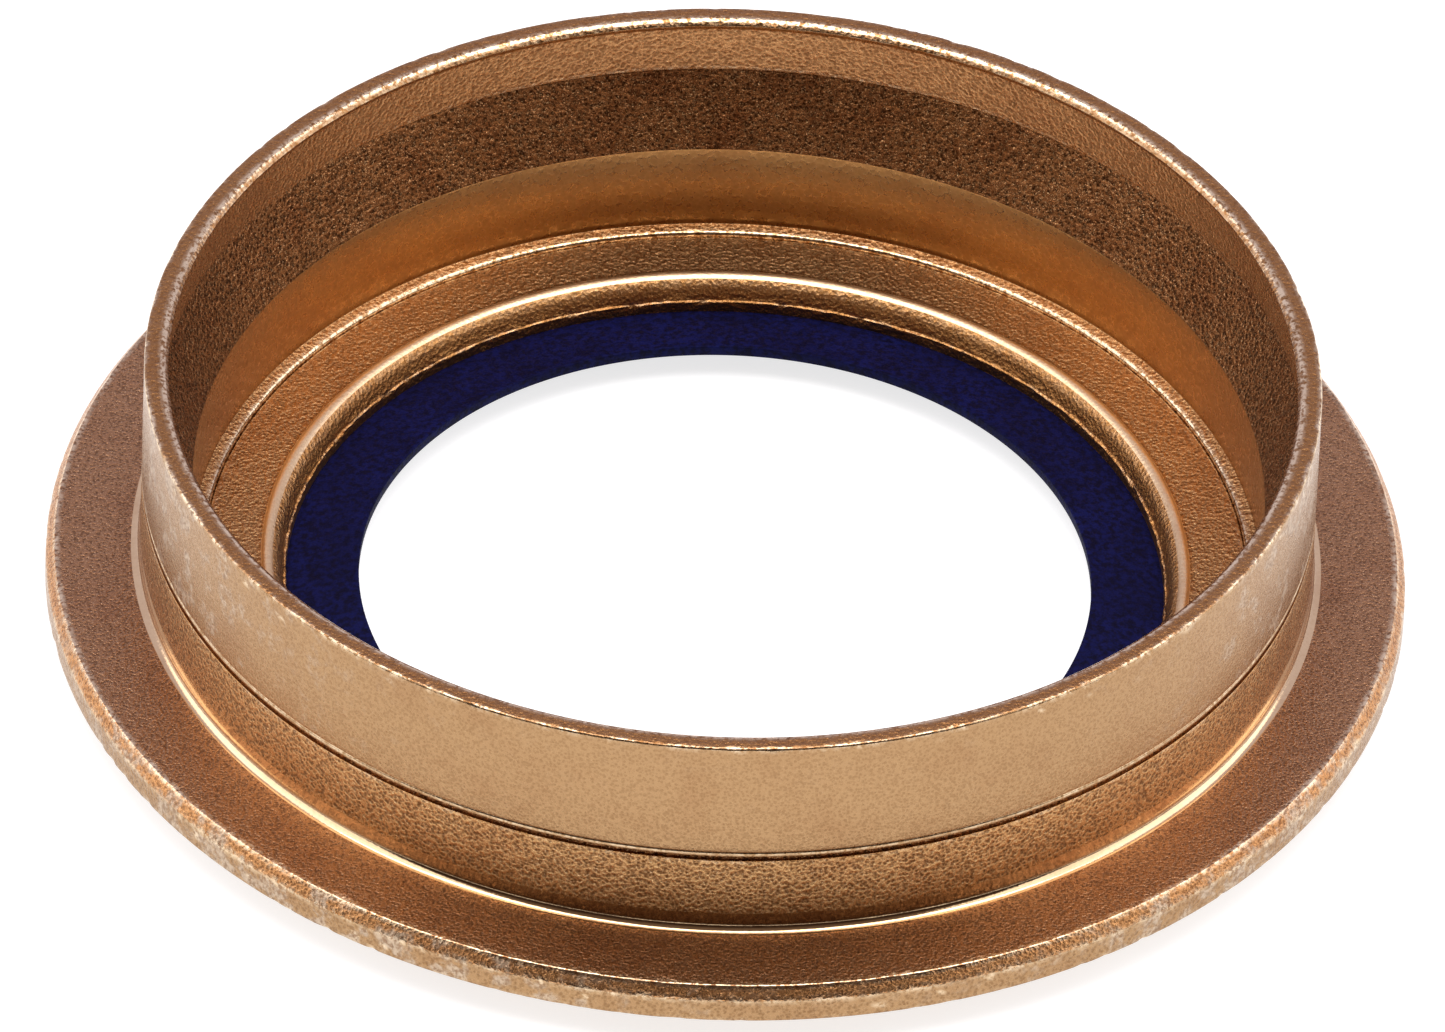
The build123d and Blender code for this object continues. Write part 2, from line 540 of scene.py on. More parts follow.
class FinishBook:
    """Every finish of the bushing, built once and shared by the rings."""

    def __init__(self) -> None:
        """Build the materials."""
        fresh = Tones((0.33, 0.155, 0.060), (0.610, 0.310, 0.128), (0.92, 0.590, 0.300))
        honed = Tones((0.31, 0.142, 0.046), (0.510, 0.248, 0.083), (0.64, 0.365, 0.150))
        golden = Tones((0.18, 0.082, 0.030), (0.580, 0.330, 0.140), (0.95, 0.670, 0.380))
        bright = Tones((0.56, 0.360, 0.190), (0.780, 0.560, 0.330), (0.88, 0.690, 0.460))
        dull = Tones((0.11, 0.047, 0.021), (0.370, 0.186, 0.090), (0.86, 0.580, 0.350))
        ruddy = Tones((0.24, 0.100, 0.036), (0.580, 0.280, 0.108), (0.88, 0.520, 0.240))
        cast = Tones((0.05, 0.018, 0.006), (0.245, 0.098, 0.033), (0.92, 0.560, 0.280))
        tan = Tones((0.28, 0.152, 0.066), (0.425, 0.255, 0.124), (0.56, 0.360, 0.195))
        brown = Tones((0.21, 0.090, 0.029), (0.340, 0.160, 0.058), (0.52, 0.290, 0.125))
        sandy = Tones((0.22, 0.108, 0.040), (0.415, 0.226, 0.096), (0.92, 0.620, 0.320))
        bronze = (
            BronzeFinish(
                Zone.RIM, brown, grain_depth=0.09, speck=0.9, line=0.12, line_depth=0.012,
                stain=0.3,
            ),
            BronzeFinish(Zone.WALL, tan, grain=0.24, grain_depth=0.024, speck=0.45, stain=0.40),
            BronzeFinish(
                Zone.BAND, fresh, grain=0.28, grain_depth=0.090, fine_depth=0.03, speck=0.9
            ),
            BronzeFinish(
                Zone.CONE, cast, grain=0.30, grain_depth=0.130, fine_depth=0.05, speck=1.0,
                stain=1.0, line=0.40, line_depth=0.060, rough=(0.20, 0.30),
            ),
            BronzeFinish(
                Zone.BORE, honed, grain=0.4, grain_depth=0.020, fine_depth=0.008, speck=0.35,
                rough=(0.26, 0.34),
            ),
            BronzeFinish(
                Zone.LAND, golden, grain=0.28, grain_depth=0.110, fine_depth=0.03, speck=1.0
            ),
            BronzeFinish(
                Zone.FILLET, bright, grain_depth=0.006, fine_depth=0.003, speck=0.2,
                rough=(0.08, 0.13),
            ),
            BronzeFinish(
                Zone.FLANGE, dull, grain=0.22, grain_depth=0.070, fine_depth=0.015,
                line_depth=0.008, speck=0.85,
            ),
            BronzeFinish(
                Zone.CHAMFER, ruddy, grain=0.24, grain_depth=0.090, fine_depth=0.03, speck=0.9
            ),
            BronzeFinish(
                Zone.EDGE, tan, grain=0.28, grain_depth=0.090, fine_depth=0.03, speck=0.8
            ),
            BronzeFinish(
                Zone.LEDGE, sandy, grain=0.28, grain_depth=0.100, fine_depth=0.03, line=0.16,
                line_depth=0.012, speck=0.9,
            ),
            BronzeFinish(
                Zone.BEAD, bright, grain=0.26, grain_depth=0.022, fine_depth=0.008, speck=0.4,
                rough=(0.30, 0.38),
            ),
            BronzeFinish(
                Zone.NOSE, honed, grain=0.28, grain_depth=0.120, fine_depth=0.04,
                rough=(0.30, 0.42),
            ),
            BronzeFinish(
                Zone.UNDER, grain=0.30, grain_depth=0.020, line=0.30, line_depth=0.016, speck=0.4
            ),
        )
        self.materials: dict[Zone, bpy.types.Material] = {
            finish.zone: finish.material() for finish in bronze
        }
        self.materials[Zone.RUBBER] = ElastomerFinish().material()

    def __getitem__(self, zone: Zone) -> bpy.types.Material:
        """Return the material of one zone."""
        return self.materials[zone]


@dataclass(frozen=True)
class Dings:
    """Seeded dings near a ring's nicked corners, most of them on the two knocked sides.

    Attributes:
        count: Number of dings.
        seed: Seed of their places and sizes.
        left: Mean direction and spread of those on the left, in degrees.
        right: Mean direction and spread of those on the right, in degrees.
        drop: Least and greatest drop below the corner, in millimetres, which one in three has.
        size: Least and greatest size, in millimetres.
        depth: Least and greatest depth, in millimetres.
    """

    count: int = 0
    seed: int = 1
    left: tuple[float, float] = (-135.0, 26.0)
    right: tuple[float, float] = (-35.0, 24.0)
    drop: tuple[float, float] = (0.1, 1.2)
    size: tuple[float, float] = (0.2, 0.55)
    depth: tuple[float, float] = (0.03, 0.10)

    def draw(self, corners: list[Corner]) -> Iterator[tuple[Vector, float, float]]:
        """Draw the dings one after the other.

        Args:
            corners: Corners that can have dings.

        Yields:
            A ding's centre in metres, and its size and depth in millimetres.
        """
        chance = random.Random(self.seed)
        for _ in range(self.count):
            corner = chance.choice(corners)
            sides = (chance.gauss(*self.left), chance.gauss(*self.right), chance.uniform(0, 360))
            turn = math.radians(chance.choice(sides))
            drop = chance.choice((0.0, 0.0, chance.uniform(*self.drop)))
            size, depth = chance.uniform(*self.size), chance.uniform(*self.depth)
            x, y = corner.r * math.cos(turn), corner.r * math.sin(turn)
            yield Vector((x, y, corner.z - drop)) * MM, size, depth


@dataclass(frozen=True)
class Handling:
    """How the outside of a ring was knocked, most in one place on each side.

    Attributes:
        left: Direction of the worst place on the left, in degrees.
        right: Direction of the worst place on the right, in degrees.
        left_spread: How far the left place reaches, in degrees.
        right_spread: How far the right place reaches, in degrees.
        right_share: How bad the right place is beside the left one, from 0 to 1.
        least: How knocked the rest is, from 0 to 1.
    """

    left: float
    right: float
    left_spread: float = 30.0
    right_spread: float = 22.0
    right_share: float = 0.8
    least: float = 0.10

    def at(self, place: Vector) -> float:
        """Return how much one place was knocked.

        Args:
            place: A point of the ring.

        Returns:
            A share from 0 to 1.
        """
        turn = math.degrees(math.atan2(place.y, place.x))
        left = math.exp(-(((turn - self.left) / self.left_spread) ** 2))
        right = math.exp(-(((turn - self.right) / self.right_spread) ** 2))
        worst = left + self.right_share * right
        return min(1.0, self.least + worst)


@dataclass
class TurnedRing:
    """A ring spun from a closed half-section, then nicked, dinged and dressed.

    Attributes:
        node: CAD node that the ring stands for.
        piece: Name of the visible piece.
        slot: Material slot of the record; not used.
        steps: Number of flats round the ring.
        dings: Seeded dings near its nicked corners.
    """

    node: str
    piece: str
    slot: str = "bronze"
    steps: int = 640
    dings: Dings = Dings()

    def section(self) -> list[Corner]:
        """Return the corners of the half-section, in order round it."""
        raise NotImplementedError

    def relief(self, place: Vector, radius: float, height: float) -> float:
        """Return how far a point is pushed along its normal, in millimetres."""
        return 0.0

    def scuffing(self, place: Vector, radius: float, height: float) -> float:
        """Return how scuffed a point is, from 0 to 1."""
        return 0.0

    def profile(self, mesh: bmesh.types.BMesh, corners: list[Corner]) -> None:
        """Draw the half-section as a closed wire with eased corners and loops for detail.

        Args:
            mesh: Empty mesh to draw in.
            corners: Corners of the section.
        """
        points = [mesh.verts.new((c.r * MM, 0.0, c.z * MM)) for c in corners]
        for first, second in zip(points, points[1:] + points[:1]):
            mesh.edges.new((first, second))
        for corner, point in zip(corners, points):
            if corner.ease > 0.0:
                bmesh.ops.bevel(
                    mesh, geom=[point], offset=corner.ease * MM, offset_type="OFFSET",
                    segments=SMALL_SEGMENTS if corner.ease < BROAD_EASE else BROAD_SEGMENTS,
                    profile=0.5, affect="VERTICES", material=-1,
                )
        for edge in list(mesh.edges):
            middle = (edge.verts[0].co + edge.verts[1].co) / 2
            pitch = self.nearest(corners, middle.x / MM, middle.z / MM).pitch
            cuts = int(edge.calc_length() / (pitch * MM))
            if cuts:
                bmesh.ops.subdivide_edges(mesh, edges=[edge], cuts=cuts)

    def sweep(self, mesh: bmesh.types.BMesh) -> None:
        """Spin the wire through an eighth of a turn, double that three times and weld the ring.

        Args:
            mesh: Mesh that holds only the wire.
        """
        centre, axis, eighth = (0, 0, 0), (0, 0, 1), math.tau / 8
        bmesh.ops.spin(
            mesh, geom=mesh.verts[:] + mesh.edges[:], cent=centre, axis=axis, dvec=(0, 0, 0),
            angle=eighth, steps=self.steps // 8, use_merge=False, use_duplicate=False,
        )
        for eighths in (1, 2, 4):
            whole = mesh.verts[:] + mesh.edges[:] + mesh.faces[:]
            copied = bmesh.ops.duplicate(mesh, geom=whole)["geom"]
            verts = [item for item in copied if isinstance(item, bmesh.types.BMVert)]
            turn = Matrix.Rotation(eighth * eighths, 3, "Z")
            bmesh.ops.rotate(mesh, verts=verts, cent=centre, matrix=turn)
        bmesh.ops.remove_doubles(mesh, verts=mesh.verts, dist=WELD_GAP)
        bmesh.ops.recalc_face_normals(mesh, faces=mesh.faces)

    @staticmethod
    def nearest(corners: list[Corner], r: float, z: float) -> Corner:
        """Find the face of the section nearest to a point.

        Args:
            corners: Corners of the section.
            r: Radius in millimetres.
            z: Height in millimetres.

        Returns:
            The corner that the face starts at.
        """
        best, least = corners[0], math.inf
        for first, second in zip(corners, corners[1:] + corners[:1]):
            run, rise = second.r - first.r, second.z - first.z
            t = ((r - first.r) * run + (z - first.z) * rise) / (run * run + rise * rise)
            t = min(1.0, max(0.0, t))
            gap = math.hypot(r - first.r - t * run, z - first.z - t * rise)
            if gap < least:
                best, least = first, gap
        return best

    @staticmethod
    def close_corners(corners: list[Corner], r: float, z: float) -> list[tuple[float, Corner]]:
        """List the rubbed, painted-highlight and nicked corners that a point of the section is
        near.

        Args:
            corners: Corners of the section.
            r: Radius in millimetres.
            z: Height in millimetres.

        Returns:
            How near each one is, from 0 to 1, and the corner.
        """
        found = []
        for corner in corners:
            if corner.wear_and_highlight > 0.0 or corner.nick > 0.0:
                reach = max(LEAST_REACH, corner.ease)
                gap = math.hypot(r - corner.r, z - corner.z)
                share = 1.0 - smooth(0.5 * reach, 1.3 * reach, gap)
                if share > 0.0:
                    found.append((share, corner))
        return found

    def sort_faces(self, mesh: bmesh.types.BMesh, corners: list[Corner]) -> list[Zone]:
        """Give each face the finish of the nearest face of the section.

        Args:
            mesh: Spun mesh.
            corners: Corners of the section.

        Returns:
            The finishes, in the order of the faces' material numbers.
        """
        zones = sorted({corner.zone for corner in corners}, key=lambda zone: zone.value)
        found: dict[tuple[int, int], int] = {}
        for face in mesh.faces:
            middle = face.calc_center_median()
            r, z = math.hypot(middle.x, middle.y) / MM, middle.z / MM
            key = (round(r * FACE_STEPS), round(z * FACE_STEPS))
            if key not in found:
                found[key] = zones.index(self.nearest(corners, r, z).zone)
            face.material_index = found[key]
            face.smooth = True
        return zones

    def weather(self, mesh: bmesh.types.BMesh, corners: list[Corner]) -> None:
        """Push points in at nicks and dings, and store how much rubbed wear and painted highlight
        each point has.

        Args:
            mesh: Spun mesh.
            corners: Corners of the section.
        """
        wear_highlight_layer = mesh.verts.layers.float.new("edge")
        scuff_layer = mesh.verts.layers.float.new("scuff")
        mesh.normal_update()
        near: dict[tuple[int, int], list[tuple[float, Corner]]] = {}
        for vert in mesh.verts:
            place = vert.co / MM
            radius = math.hypot(place.x, place.y)
            key = (round(radius * POINT_STEPS), round(place.z * POINT_STEPS))
            if key not in near:
                near[key] = self.close_corners(corners, radius, place.z)
            push = self.relief(place, radius, place.z)
            edge = 0.0
            if near[key]:
                chip = clouds(place, coarse=0.9, fine=2.6, share=0.7)
                for share, corner in near[key]:
                    rubbed = 1.0 - corner.broken * (1.0 - smooth(-0.35, 0.45, chip))
                    edge = max(edge, share * corner.wear_and_highlight * rubbed)
                    push -= share * corner.nick * smooth(0.2, 0.9, chip)
            vert[wear_highlight_layer] = edge
            vert[scuff_layer] = self.scuffing(place, radius, place.z)
            vert.co += vert.normal * push * MM
        self.dent(mesh, corners, wear_highlight_layer)

    def dent(
        self, mesh: bmesh.types.BMesh, corners: list[Corner], edge: bmesh.types.BMLayerItem
    ) -> None:
        """Press the dings in and brighten them.

        Args:
            mesh: Spun mesh.
            corners: Corners of the section.
            edge: Layer that holds how much rubbed wear and painted highlight each point has.
        """
        nicked = [corner for corner in corners if corner.nick > 0.0]
        if not nicked:
            return
        tree = kdtree.KDTree(len(mesh.verts))
        for vert in mesh.verts:
            tree.insert(vert.co, vert.index)
        tree.balance()
        mesh.verts.ensure_lookup_table()
        for centre, size, depth in self.dings.draw(nicked):
            for _, index, gap in tree.find_range(centre, 2.0 * size * MM):
                vert = mesh.verts[index]
                share = math.exp(-2.0 * (gap / (size * MM)) ** 2)
                vert.co -= vert.normal * share * depth * MM
                vert[edge] = max(vert[edge], 0.7 * smooth(0.2, 0.7, share))

    def build(self, finishes: FinishBook) -> bpy.types.Object:
        """Make the ring, dress it and put it in its CAD node's place.

        Args:
            finishes: The bushing's finishes.

        Returns:
            The finished piece.
        """
        corners = self.section()
        mesh = bmesh.new()
        self.profile(mesh, corners)
        self.sweep(mesh)
        zones = self.sort_faces(mesh, corners)
        self.weather(mesh, corners)
        data = bpy.data.meshes.new(self.piece)
        mesh.to_mesh(data)
        mesh.free()
        for zone in zones:
            data.materials.append(finishes[zone])
        data.set_sharp_from_angle(angle=math.radians(SHARP_ANGLE))
        ring = bpy.data.objects.new(self.piece, data)
        bpy.context.scene.collection.objects.link(ring)
        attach(ring, "root")
        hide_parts(self.node)
        LOG.info("%s: %d faces, %d finishes", self.piece, len(data.polygons), len(zones))
        return ring


@dataclass
class FlangedBody(TurnedRing):
    """Flange, pilot, land, conical mouth and stepped bore, in one turned piece.

    Attributes:
        handling: How the outside was knocked.
        flange_r: Radius of the flange.
        collar_r: Radius of the land, the same as the collar's.
        bore_r: Radius of the bearing bore.
        top_z: Top of the spigot.
        pilot_r: Radius of the pilot under the flange.
        pilot_h: Height of the pilot.
        flange_top_z: Top of the flange.
        chamfer_run: Radial run of the flange's chamfer.
        chamfer_drop: Drop of the flange's chamfer.
        fillet: How far the corner between flange and land is rounded.
        foot_z: Where the polished foot of the land ends and its grain begins.
        joint_break: Bevel of the edge under the collar's joint.
        groove_z: Bottom of the witness groove.
        groove_h: Height of the witness groove.
        groove_depth: Depth of the witness groove.
        joint_z: Shoulder that the collar sleeve stands on.
        spigot_r: Radius of the spigot.
        cone_top_r: Radius of the conical mouth at its top.
        bore_top_z: Top of the bearing bore.
        step_z: Height of the step at the foot of the bore.
        step_fall: How far the step dips towards the clamp ring.
        clamp_r: Radius of the counterbore for the clamp ring.
        seat_r: Radius of the opening in the seal's seat.
        seat_z: Top of the seal's seat.
    """

    node: str = "flanged_body"
    piece: str = "bronze_flanged_body"
    dings: Dings = Dings(count=110, seed=11)
    handling: Handling = Handling(left=-130.0, right=-38.0)
    flange_r: float = 46.4
    collar_r: float = 40.0
    bore_r: float = 36.5
    top_z: float = 16.0
    pilot_r: float = 39.0
    pilot_h: float = 2.2
    flange_top_z: float = 4.85
    chamfer_run: float = 0.6
    chamfer_drop: float = 0.9
    fillet: float = 0.60
    foot_z: float = 6.25
    joint_break: float = 0.10
    groove_z: float = 10.82
    groove_h: float = 0.34
    groove_depth: float = 0.24
    joint_z: float = 11.58
    spigot_r: float = 39.3
    cone_top_r: float = 39.0
    bore_top_z: float = 10.85
    step_z: float = 4.32
    step_fall: float = 0.16
    clamp_r: float = 35.6
    seat_r: float = 31.0
    seat_z: float = 0.8

    def section(self) -> list[Corner]:
        """Draw the body's half-section.

        Returns:
            Its corners, in order round it.
        """
        groove_r = self.collar_r - self.groove_depth
        groove_top = self.groove_z + self.groove_h
        chamfer_r = self.flange_r - self.chamfer_run
        chamfer_z = self.flange_top_z - self.chamfer_drop
        bead_z = self.joint_z - self.joint_break
        dip_z = self.step_z - self.step_fall
        return [
            Corner(self.seat_r, 0.0, Zone.UNDER, ease=0.1),
            Corner(self.pilot_r, 0.0, Zone.UNDER, ease=0.15, wear_and_highlight=0.4),
            Corner(self.pilot_r, self.pilot_h, Zone.UNDER),
            Corner(
                self.flange_r, self.pilot_h, Zone.EDGE, ease=0.15, wear_and_highlight=0.5, broken=1.0,
                nick=0.05, pitch=0.34,
            ),
            Corner(
                self.flange_r, chamfer_z, Zone.CHAMFER, ease=0.14, wear_and_highlight=0.6, broken=0.7,
                nick=0.04, pitch=0.34,
            ),
            Corner(
                chamfer_r, self.flange_top_z, Zone.FLANGE, ease=0.08, wear_and_highlight=0.9, broken=0.5,
                nick=0.05, pitch=0.36,
            ),
            Corner(self.collar_r + self.fillet, self.flange_top_z, Zone.FILLET),
            Corner(self.collar_r, self.flange_top_z, Zone.FILLET, ease=self.fillet),
            Corner(self.collar_r, self.foot_z, Zone.LAND, pitch=0.3),
            Corner(self.collar_r, self.groove_z, Zone.BORE, ease=0.05, wear_and_highlight=0.3, broken=1.0),
            Corner(groove_r, self.groove_z, Zone.CONE),
            Corner(groove_r, groove_top, Zone.CONE),
            Corner(self.collar_r, groove_top + 0.05, Zone.WALL, ease=0.05),
            Corner(self.collar_r, bead_z, Zone.WALL, ease=0.09, wear_and_highlight=0.6, broken=0.6),
            Corner(self.collar_r - self.joint_break, self.joint_z, Zone.UNDER),
            Corner(self.spigot_r, self.joint_z, Zone.UNDER),
            Corner(self.spigot_r, self.top_z, Zone.CONE),
            Corner(self.cone_top_r, self.top_z, Zone.CONE, ease=0.04, pitch=0.34),
            Corner(self.bore_r, self.bore_top_z, Zone.BORE, ease=0.06, pitch=1.0),
            Corner(self.bore_r, self.step_z, Zone.LEDGE, ease=0.06, pitch=0.3),
            # Painted highlight: a nearly unbroken bright rubbed line along the ledge's outer edge.
            Corner(self.clamp_r, dip_z, Zone.LEDGE, ease=0.26, wear_and_highlight=0.95, broken=0.1),
            Corner(self.clamp_r, self.seat_z, Zone.UNDER),
            Corner(self.seat_r, self.seat_z, Zone.UNDER),
        ]

    def relief(self, place: Vector, radius: float, height: float) -> float:
        """Roughen the cone and leave the rest of the body true.

        Args:
            place: A point of the body, in millimetres.
            radius: Its radius.
            height: Its height.

        Returns:
            How far the point is pushed along its normal, in millimetres.
        """
        inside = 1.0 if radius < self.spigot_r - 0.1 else 0.0
        cone = smooth(self.bore_top_z, self.bore_top_z + 0.4, height) * inside
        return 0.02 * cone * noise.noise(place * 1.7)

    def scuffing(self, place: Vector, radius: float, height: float) -> float:
        """Scuff the flange's edge most, and the land a little.

        Args:
            place: A point of the body, in millimetres.
            radius: Its radius.
            height: Its height; not used.

        Returns:
            How scuffed the point is, from 0 to 1.
        """
        outer = smooth(self.flange_r - 1.0, self.flange_r - 0.3, radius)
        land = smooth(self.collar_r - 0.5, self.collar_r, radius)
        share = outer * 0.9 + (1.0 - outer) * 0.12 * land
        cloud = clouds(place, coarse=0.55, fine=1.6, share=0.5)
        return share * self.handling.at(place) * smooth(-0.25, 0.35, cloud)


@dataclass
class CollarSleeve(TurnedRing):
    """The thin upper wall, pressed over the body's spigot.

    Attributes:
        handling: How the outside was knocked.
        collar_r: Radius of the outside.
        rim_z: Top of the rim.
        joint_z: Bottom of the sleeve.
        spigot_r: Radius of the counterbore that sits over the spigot.
        spigot_top_z: Top of that counterbore.
        rim_bore_r: Radius inside the rim.
        rim_chamfer: Run and drop of the rim's inner chamfer.
        undercut: Depth of the undercut below that chamfer.
        joint_break: Bevel of the outer edge at the joint.
        shoulder_r: Radius inside the wall, just above the spigot.
    """

    node: str = "collar_sleeve"
    piece: str = "bronze_collar_sleeve"
    dings: Dings = Dings(count=60, seed=5)
    handling: Handling = Handling(left=-168.0, right=-14.0)
    collar_r: float = 40.0
    rim_z: float = 20.6
    joint_z: float = 11.58
    spigot_r: float = 39.3
    spigot_top_z: float = 16.0
    rim_bore_r: float = 38.35
    rim_chamfer: float = 0.35
    undercut: float = 0.20
    joint_break: float = 0.06
    shoulder_r: float = 38.9

    def section(self) -> list[Corner]:
        """Draw the sleeve's half-section.

        Returns:
            Its corners, in order round it.
        """
        land_r = self.rim_bore_r + self.rim_chamfer
        chamfer_z = self.rim_z - self.rim_chamfer
        undercut_r = self.rim_bore_r + self.undercut
        undercut_z = chamfer_z - 2.0 * self.undercut
        break_z = self.joint_z + self.joint_break
        return [
            Corner(self.spigot_r, self.joint_z, Zone.UNDER),
            Corner(self.collar_r - self.joint_break, self.joint_z, Zone.UNDER),
            Corner(self.collar_r, break_z, Zone.WALL, ease=0.04, pitch=0.32),
            Corner(
                self.collar_r, self.rim_z, Zone.RIM, ease=0.20, wear_and_highlight=1.0, broken=0.9, nick=0.06,
                pitch=0.26,
            ),
            Corner(land_r, self.rim_z, Zone.RIM, ease=0.26, wear_and_highlight=0.95, broken=0.15, pitch=0.2),
            Corner(self.rim_bore_r, chamfer_z, Zone.BORE, ease=0.03, wear_and_highlight=0.5, broken=0.6),
            Corner(undercut_r, undercut_z, Zone.BAND, ease=0.05, pitch=0.3),
            Corner(
                self.shoulder_r, self.spigot_top_z, Zone.UNDER, ease=0.10, wear_and_highlight=0.9, broken=0.3
            ),
            Corner(self.spigot_r, self.spigot_top_z, Zone.UNDER),
        ]

    def scuffing(self, place: Vector, radius: float, height: float) -> float:
        """Scuff the outside of the wall, most towards its rim.

        Args:
            place: A point of the sleeve, in millimetres.
            radius: Its radius.
            height: Its height.

        Returns:
            How scuffed the point is, from 0 to 1.
        """
        outer = smooth(self.collar_r - 0.4, self.collar_r - 0.05, radius)
        cloud = clouds(place, coarse=0.5, fine=1.7, share=0.5)
        upper = 0.7 + 0.3 * smooth(17.0, 20.6, height)
        return outer * self.handling.at(place) * smooth(-0.25, 0.45, cloud) * upper


@dataclass
class SealClampRing(TurnedRing):
    """The ledge, the low bead and the nose that slopes to a ragged edge.

    Attributes:
        clamp_r: Outer radius.
        nose_r: Radius of the nose's edge.
        nose_edge_z: Height of the nose's edge.
        heel_top_z: Underside of the ring, on top of the seal's heel.
        ledge_z: Height of the ledge.
        bead_r: Radius of the bead's crown.
        bead_rise: Height of the bead above the ledge.
        bead_foot_r: Radius where the bead rises from the ledge.
        nose_shoulder_r: Radius where the bead turns down into the nose.
        ragged: How far the nose's edge wanders.
    """

    node: str = "seal_clamp_ring"
    piece: str = "bronze_seal_clamp_ring"
    clamp_r: float = 35.6
    nose_r: float = 30.0
    nose_edge_z: float = 2.5
    heel_top_z: float = 1.75
    ledge_z: float = 3.95
    bead_r: float = 31.5
    bead_rise: float = 0.14
    bead_foot_r: float = 31.725
    nose_shoulder_r: float = 30.75
    ragged: float = 0.13

    def section(self) -> list[Corner]:
        """Draw the ring's half-section.

        Returns:
            Its corners, in order round it.
        """
        bead_top = self.ledge_z + self.bead_rise
        burr_r, burr_z = self.nose_r + 0.14, self.nose_edge_z + 0.12
        return [
            Corner(self.nose_r, self.heel_top_z, Zone.UNDER),
            Corner(self.clamp_r, self.heel_top_z, Zone.UNDER),
            # Painted highlight: a nearly unbroken bright rubbed line along the ring's outer top
            # edge.
            Corner(
                self.clamp_r, self.ledge_z, Zone.LEDGE, ease=0.28, wear_and_highlight=0.95, broken=0.1,
                pitch=0.28,
            ),
            Corner(self.bead_foot_r, self.ledge_z, Zone.BEAD, pitch=0.1),
            Corner(self.bead_r, bead_top, Zone.BEAD, ease=0.08, pitch=0.15),
            Corner(
                self.nose_shoulder_r, bead_top, Zone.NOSE, ease=0.75, wear_and_highlight=0.15, broken=0.2,
                pitch=0.18,
            ),
            Corner(burr_r, burr_z, Zone.NOSE, ease=0.03, wear_and_highlight=0.2, broken=1.0),
            Corner(
                self.nose_r, self.nose_edge_z + 0.06, Zone.NOSE, ease=0.05, wear_and_highlight=0.3, broken=1.0,
                nick=0.12, pitch=0.16,
            ),
        ]

    def relief(self, place: Vector, radius: float, height: float) -> float:
        """Leave the nose's lower edge ragged.

        Args:
            place: A point of the ring, in millimetres.
            radius: Its radius.
            height: Its height.

        Returns:
            How far the point is pushed along its normal, in millimetres.
        """
        gap = math.hypot(radius - self.nose_r, height - self.nose_edge_z)
        near = 1.0 - smooth(0.15, 0.6, gap)
        torn = clouds(place, coarse=1.3, fine=3.1, share=0.7)
        return near * self.ragged * min(0.3, torn)


@dataclass
class WiperSeal(TurnedRing):
    """A flat heel under the clamp ring, and a lip that cones up towards the shaft.

    Attributes:
        lip_r: Radius of the lip's bore.
        clamp_r: Outer radius.
        heel_r: Radius where the lip's top leaves the heel.
        lip_root_r: Radius where the lip's underside leaves the heel.
        seat_z: Bottom of the heel.
        heel_top_z: Top of the heel.
        lip_rise: How far the lip's top rises to its bore.
        tip_h: Height of the lip's bore.
    """

    node: str = "wiper_seal"
    piece: str = "navy_wiper_seal"
    slot: str = "navy_elastomer"
    lip_r: float = 25.0
    clamp_r: float = 35.6
    heel_r: float = 30.0
    lip_root_r: float = 30.4
    seat_z: float = 0.8
    heel_top_z: float = 1.75
    lip_rise: float = 0.9
    tip_h: float = 0.8

    def section(self) -> list[Corner]:
        """Draw the seal's half-section.

        Returns:
            Its corners, in order round it.
        """
        lip_top = self.heel_top_z + self.lip_rise
        return [
            Corner(self.clamp_r, self.seat_z, Zone.RUBBER),
            Corner(self.clamp_r, self.heel_top_z, Zone.RUBBER),
            Corner(self.heel_r, self.heel_top_z, Zone.RUBBER, pitch=0.3),
            Corner(self.lip_r, lip_top, Zone.RUBBER, ease=0.12, pitch=0.3),
            Corner(self.lip_r, lip_top - self.tip_h, Zone.RUBBER, ease=0.1, pitch=0.6),
            Corner(self.lip_root_r, self.seat_z, Zone.RUBBER),
        ]


@dataclass(frozen=True)
class SoftBox:
    """A rectangular light that is aimed at the object.

    Attributes:
        away: Distance from the object, in metres.
        width: Width, in metres.
        tall: Height, in metres.
        bright: Radiance of its face.
    """

    away: float
    width: float
    tall: float
    bright: float

    def hang(self, name: str, direction: Vector) -> None:
        """Hang the box.

        Args:
            name: Name of the light.
            direction: Where it hangs, seen from the object.
        """
        data = bpy.data.lights.new(name, "AREA")
        data.shape = "RECTANGLE"
        data.size = self.width
        data.size_y = self.tall
        data.energy = self.bright * self.width * self.tall * math.pi
        light = bpy.data.objects.new(name, data)
        facing = (-direction).to_track_quat("-Z", "Y").to_matrix().to_4x4()
        light.matrix_world = Matrix.Translation(direction * self.away) @ facing
        light.visible_camera = False
        bpy.context.scene.collection.objects.link(light)


